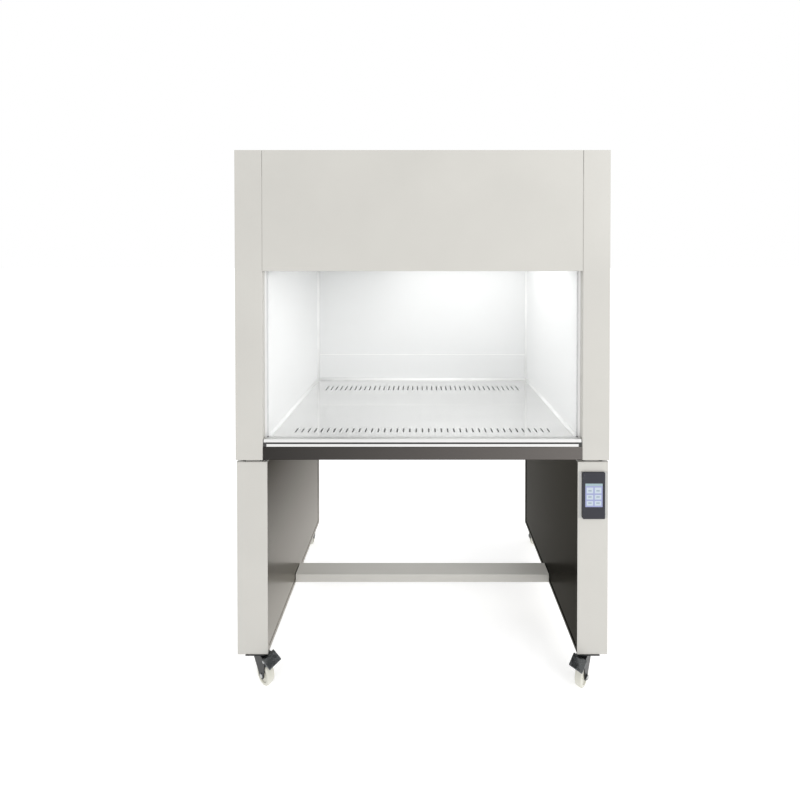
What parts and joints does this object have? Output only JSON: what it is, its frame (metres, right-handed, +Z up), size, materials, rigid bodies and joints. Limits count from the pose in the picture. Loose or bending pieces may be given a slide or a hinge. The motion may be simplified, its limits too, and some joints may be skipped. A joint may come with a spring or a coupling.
{
  "type": "laminar flow hood",
  "caption": "Free-standing laminar flow clean bench: steel cabinet with a lit white working chamber, slotted stainless work surface, sliding glass sash, box legs, crossbar and braked castors.",
  "frame": {"origin": "on the floor under the middle of the cabinet", "axes": "+X to the right as the user faces the bench, -Y out of the open front, +Z up"},
  "size_m": [1.2, 0.759, 1.73],
  "materials": {
    "paint": "fine-textured powder coat, warm light grey, satin",
    "white_paint": "smooth white powder coat inside the chamber",
    "dark_steel": "polished stainless steel, dark reflections",
    "stainless": "brushed stainless steel",
    "zinc": "zinc-plated sheet steel",
    "aluminium": "anodised aluminium extrusion",
    "glass": "clear toughened glass",
    "black_plastic": "black moulded plastic",
    "white_plastic": "white nylon",
    "display": "lit touch screen behind glass",
    "filter_paper": "pleated glass-fibre filter paper",
    "cast_steel": "plain steel bar",
    "rubber": "black rubber",
    "black_steel": "black-coated steel",
    "tube_glass": "frosted lamp tube",
    "galvanised": "galvanised sheet steel"
  },
  "bodies": {
    "cabinet": {"left_side_panel": "paint", "right_side_panel": "paint", "top_panel": "paint", "rear_panel": "paint", "front_panel": "paint", "base_pan": "galvanised", "rear_panel_screws": "zinc", "front_apron": "dark_steel", "left_liner": "white_paint", "right_liner": "white_paint", "rear_liner": "white_paint", "work_surface": "stainless", "ceiling_grille": "white_paint", "hepa_frame": "aluminium", "hepa_media": "filter_paper", "plenum_deck": "galvanised", "front_baffle": "galvanised", "blower_housing": "galvanised", "blower_motor": "black_steel", "control_box": "paint", "prefilter": "filter_paper", "power_inlet": "black_plastic", "lamp_holders": "white_plastic", "led_tube": "tube_glass", "uv_tube": "tube_glass", "left_sash_channel": "aluminium", "right_sash_channel": "aluminium", "pulley_brackets": "zinc", "sash_cables": "stainless", "left_leg_shell": "paint", "right_leg_shell": "paint", "left_leg_panel": "dark_steel", "right_leg_panel": "dark_steel", "crossbar": "paint", "stand_pads": "rubber", "touch_panel_plate": "aluminium", "touch_panel_bezel": "black_plastic", "touch_panel_display": "display", "castor_plates": "black_steel", "castor_bolts": "zinc"},
    "sash": {"sash_glass": "glass", "sash_rail": "aluminium", "sash_glides": "black_plastic"},
    "left_counterweight": {"left_counterweight": "cast_steel"},
    "right_counterweight": {"right_counterweight": "cast_steel"},
    "left_pulley": {"left_pulley": "white_plastic"},
    "right_pulley": {"right_pulley": "white_plastic"},
    "impeller": {"blower_impeller": "galvanised"},
    "front_left_fork": {"front_left_castor_fork": "black_steel"},
    "front_left_wheel": {"front_left_castor_wheel": "white_plastic"},
    "front_left_pedal": {"front_left_castor_pedal": "zinc"},
    "front_right_fork": {"front_right_castor_fork": "black_steel"},
    "front_right_wheel": {"front_right_castor_wheel": "white_plastic"},
    "front_right_pedal": {"front_right_castor_pedal": "zinc"},
    "rear_left_fork": {"rear_left_castor_fork": "black_steel"},
    "rear_left_wheel": {"rear_left_castor_wheel": "white_plastic"},
    "rear_left_pedal": {"rear_left_castor_pedal": "zinc"},
    "rear_right_fork": {"rear_right_castor_fork": "black_steel"},
    "rear_right_wheel": {"rear_right_castor_wheel": "white_plastic"},
    "rear_right_pedal": {"rear_right_castor_pedal": "zinc"}
  },
  "joints": [
    {"name": "sash_slide", "type": "slide", "parent": "cabinet", "child": "sash", "axis": [0, 0, 1], "range_m": [0, 0.3], "deforming": ["sash_cables"]},
    {"name": "left_counterweight_slide", "type": "slide", "parent": "cabinet", "child": "left_counterweight", "axis": [0, 0, 1], "range_m": [-0.302, 0.002]},
    {"name": "left_pulley_turn", "type": "hinge", "parent": "cabinet", "child": "left_pulley", "pos_m": [-0.5363, -0.31652, 1.69], "axis": [0, 1, 0], "range_deg": [-618.9, 618.9]},
    {"name": "right_counterweight_slide", "type": "slide", "parent": "cabinet", "child": "right_counterweight", "axis": [0, 0, 1], "range_m": [-0.302, 0.002]},
    {"name": "right_pulley_turn", "type": "hinge", "parent": "cabinet", "child": "right_pulley", "pos_m": [0.5363, -0.31652, 1.69], "axis": [0, 1, 0], "range_deg": [-618.9, 618.9]},
    {"name": "impeller_spin", "type": "hinge", "parent": "cabinet", "child": "impeller", "pos_m": [-0.15, 0.03948, 1.623], "axis": [1, 0, 0], "continuous": true},
    {"name": "front_left_swivel", "type": "hinge", "parent": "cabinet", "child": "front_left_fork", "pos_m": [-0.54, -0.30152, 0.094], "axis": [0, 0, 1], "continuous": true},
    {"name": "front_left_wheel_spin", "type": "hinge", "parent": "front_left_fork", "child": "front_left_wheel", "pos_m": [-0.51297, -0.32045, 0.034], "axis": [0.5736, 0.8192, 0], "continuous": true},
    {"name": "front_left_brake", "type": "hinge", "parent": "front_left_fork", "child": "front_left_pedal", "pos_m": [-0.50478, -0.32618, 0.084], "axis": [0.5736, 0.8192, 0], "range_deg": [0, 12]},
    {"name": "front_right_swivel", "type": "hinge", "parent": "cabinet", "child": "front_right_fork", "pos_m": [0.54, -0.30152, 0.094], "axis": [0, 0, 1], "continuous": true},
    {"name": "front_right_wheel_spin", "type": "hinge", "parent": "front_right_fork", "child": "front_right_wheel", "pos_m": [0.51792, -0.32604, 0.034], "axis": [0.7431, -0.6691, 0], "continuous": true},
    {"name": "front_right_brake", "type": "hinge", "parent": "front_right_fork", "child": "front_right_pedal", "pos_m": [0.51123, -0.33347, 0.084], "axis": [0.7431, -0.6691, 0], "range_deg": [0, 12]},
    {"name": "rear_left_swivel", "type": "hinge", "parent": "cabinet", "child": "rear_left_fork", "pos_m": [-0.54, 0.27648, 0.094], "axis": [0, 0, 1], "continuous": true},
    {"name": "rear_left_wheel_spin", "type": "hinge", "parent": "rear_left_fork", "child": "rear_left_wheel", "pos_m": [-0.54, 0.30948, 0.034], "axis": [-1, 0, 0], "continuous": true},
    {"name": "rear_left_brake", "type": "hinge", "parent": "rear_left_fork", "child": "rear_left_pedal", "pos_m": [-0.54, 0.31948, 0.084], "axis": [-1, 0, 0], "range_deg": [0, 12]},
    {"name": "rear_right_swivel", "type": "hinge", "parent": "cabinet", "child": "rear_right_fork", "pos_m": [0.54, 0.27648, 0.094], "axis": [0, 0, 1], "continuous": true},
    {"name": "rear_right_wheel_spin", "type": "hinge", "parent": "rear_right_fork", "child": "rear_right_wheel", "pos_m": [0.54, 0.30948, 0.034], "axis": [-1, 0, 0], "continuous": true},
    {"name": "rear_right_brake", "type": "hinge", "parent": "rear_right_fork", "child": "rear_right_pedal", "pos_m": [0.54, 0.31948, 0.084], "axis": [-1, 0, 0], "range_deg": [0, 12]}
  ],
  "couplings": [
    {"joint": "left_counterweight_slide", "follows": "sash_slide", "ratio": -1},
    {"joint": "right_counterweight_slide", "follows": "sash_slide", "ratio": -1},
    {"joint": "left_pulley_turn", "follows": "sash_slide", "rad_per_m": -35.714},
    {"joint": "right_pulley_turn", "follows": "sash_slide", "rad_per_m": 35.714}
  ]
}
